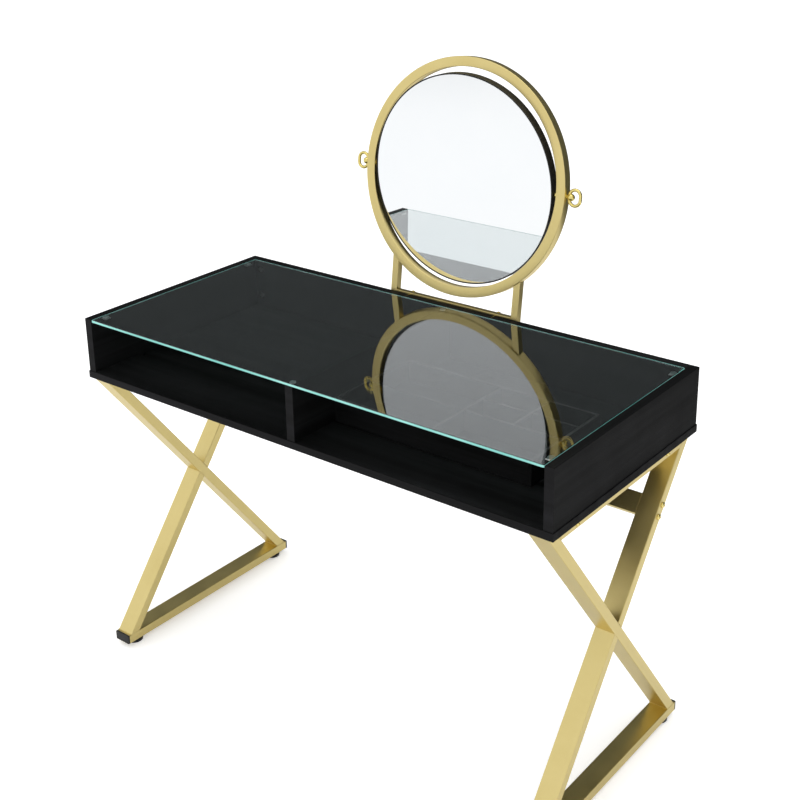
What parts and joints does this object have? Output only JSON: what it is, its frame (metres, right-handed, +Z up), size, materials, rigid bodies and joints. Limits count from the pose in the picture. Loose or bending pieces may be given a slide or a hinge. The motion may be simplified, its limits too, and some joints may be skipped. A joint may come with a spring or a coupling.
{
  "type": "vanity table with mirror",
  "caption": "Vanity table with a flush glass top over two open bays, a sliding jewellery tray, X-shaped metal leg frames and a round tilting mirror in a ring at the back.",
  "frame": {"origin": "on the floor, under the middle of the whole outline in X and Y, which is 38.3 mm behind the middle of the case", "axes": "+X to the right of the person at the table, -Y to the front, +Z up"},
  "size_m": [1.103, 0.5806, 1.2472],
  "materials": {
    "black_board": "satin black foil with a faint grain",
    "clear_glass": "polished clear float glass with green edges",
    "zinc_steel": "zinc plated",
    "clear_pads": "clear soft pads",
    "plain_wood": "plain beech",
    "gold_paint": "satin champagne gold powder coat",
    "gold_plating": "polished gold plating",
    "black_plastic": "fine matte black",
    "mirror_silver": "silvered glass",
    "dark_board": "dark fibre board",
    "nylon": "natural nylon"
  },
  "bodies": {
    "root": {"bottom_board": "black_board", "left_side_panel": "black_board", "right_side_panel": "black_board", "back_panel": "black_board", "centre_partition": "black_board", "glass_top": "clear_glass", "glass_support_pegs": "zinc_steel", "glass_pads": "clear_pads", "partition_bumpers": "clear_pads", "cam_locks": "zinc_steel", "cam_bolts": "zinc_steel", "partition_dowels": "plain_wood", "case_screws": "zinc_steel", "rail_screws": "zinc_steel", "left_through_leg": "gold_paint", "left_upper_leg": "gold_paint", "left_lower_leg": "gold_paint", "left_top_rail": "gold_paint", "left_bottom_rail": "gold_paint", "right_through_leg": "gold_paint", "right_upper_leg": "gold_paint", "right_lower_leg": "gold_paint", "right_top_rail": "gold_paint", "right_bottom_rail": "gold_paint", "rail_end_caps": "black_plastic", "glide_nuts": "zinc_steel", "front_cross_rail": "gold_paint", "rear_cross_rail": "gold_paint", "rear_stretcher": "gold_paint", "cross_rail_bolts": "gold_plating", "stretcher_bolts": "gold_plating", "left_post": "gold_paint", "right_post": "gold_paint", "stand_crossbar": "gold_paint", "stand_bolts": "gold_plating", "mirror_ring": "gold_paint"},
    "tray": {"tray_base": "black_board", "tray_left_wall": "black_board", "tray_right_wall": "black_board", "tray_front_wall": "black_board", "tray_back_wall": "black_board", "tray_long_divider": "black_board", "tray_depth_divider": "black_board", "tray_short_divider": "black_board", "tray_small_divider": "black_board"},
    "mirror": {"mirror_rim": "black_plastic", "mirror_backing": "dark_board", "mirror_glass": "mirror_silver", "left_pivot_bush": "nylon", "right_pivot_bush": "nylon"},
    "left_screw": {"left_thumb_screw": "gold_plating", "left_pivot_collar": "gold_plating"},
    "right_screw": {"right_thumb_screw": "gold_plating", "right_pivot_collar": "gold_plating"},
    "foot_left_front": {"glide_left_front": "black_plastic"},
    "foot_left_rear": {"glide_left_rear": "black_plastic"},
    "foot_right_front": {"glide_right_front": "black_plastic"},
    "foot_right_rear": {"glide_right_rear": "black_plastic"}
  },
  "joints": [
    {"name": "tray_slide", "type": "slide", "parent": "root", "child": "tray", "axis": [0, -1, 0], "range_m": [-0.14, 0.2]},
    {"name": "mirror_tilt", "type": "hinge", "parent": "root", "child": "mirror", "pos_m": [0, 0.24916, 1.00802], "axis": [1, 0, 0], "continuous": true},
    {"name": "left_screw_turn", "type": "hinge", "parent": "root", "child": "left_screw", "pos_m": [-0.2, 0.24916, 1.00802], "axis": [-1, 0, 0], "range_deg": [-180, 180]},
    {"name": "right_screw_turn", "type": "hinge", "parent": "root", "child": "right_screw", "pos_m": [0.2, 0.24916, 1.00802], "axis": [1, 0, 0], "range_deg": [-180, 180]},
    {"name": "foot_left_front_turn", "type": "hinge", "parent": "root", "child": "foot_left_front", "pos_m": [-0.521, -0.2573, 0], "axis": [0, 0, 1], "range_deg": [-180, 180]},
    {"name": "foot_left_rear_turn", "type": "hinge", "parent": "root", "child": "foot_left_rear", "pos_m": [-0.521, 0.1807, 0], "axis": [0, 0, 1], "range_deg": [-180, 180]},
    {"name": "foot_right_front_turn", "type": "hinge", "parent": "root", "child": "foot_right_front", "pos_m": [0.521, -0.2573, 0], "axis": [0, 0, 1], "range_deg": [-180, 180]},
    {"name": "foot_right_rear_turn", "type": "hinge", "parent": "root", "child": "foot_right_rear", "pos_m": [0.521, 0.1807, 0], "axis": [0, 0, 1], "range_deg": [-180, 180]}
  ]
}
